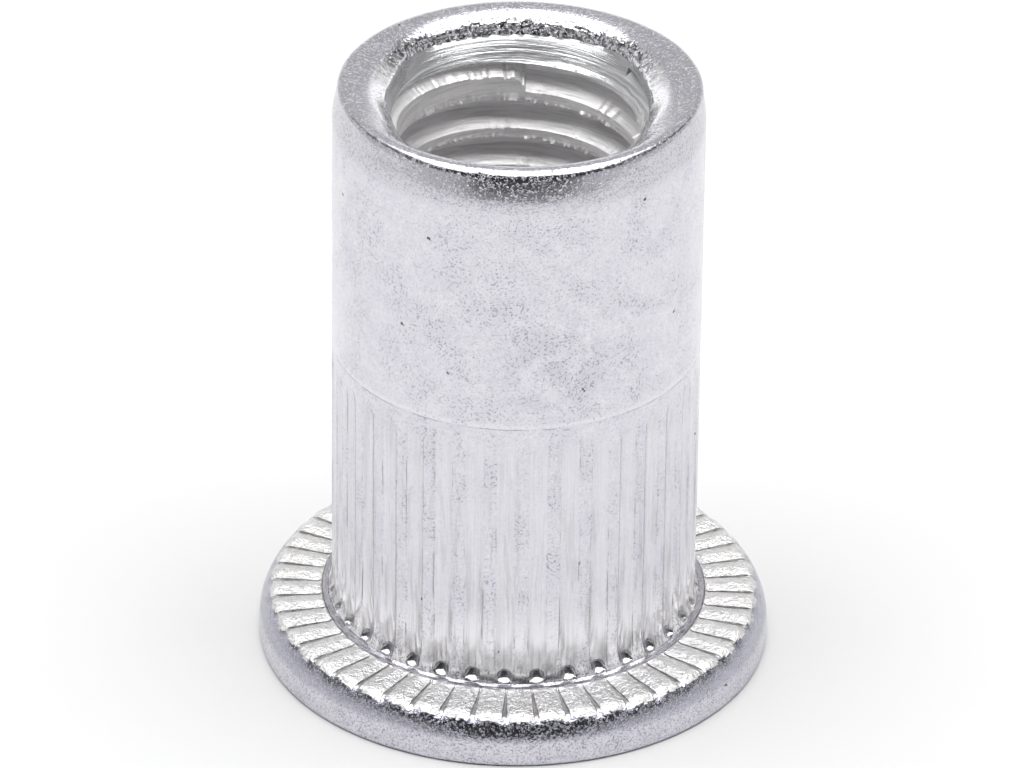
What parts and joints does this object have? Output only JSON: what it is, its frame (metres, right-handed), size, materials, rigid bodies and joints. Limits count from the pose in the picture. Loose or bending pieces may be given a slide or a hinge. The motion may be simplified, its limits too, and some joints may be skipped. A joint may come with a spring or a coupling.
{
  "type": "rivet nut",
  "caption": "Flat-head open-end aluminium rivet nut with a knurled thin-wall body: set in a sheet's hole, it gives the sheet a metric internal thread.",
  "frame": {"origin": "centre of the flange's flat outer face, which the nut stands on", "axes": "+Z along the bore axis, from the flange to the open threaded end; X and Y are equal by symmetry"},
  "size_m": [0.0182, 0.0182, 0.0223],
  "materials": {
    "aluminium": "tumbled matt, machined bright inside the mouth"
  },
  "bodies": {
    "root": {"rivet_nut": "aluminium"}
  },
  "joints": []
}
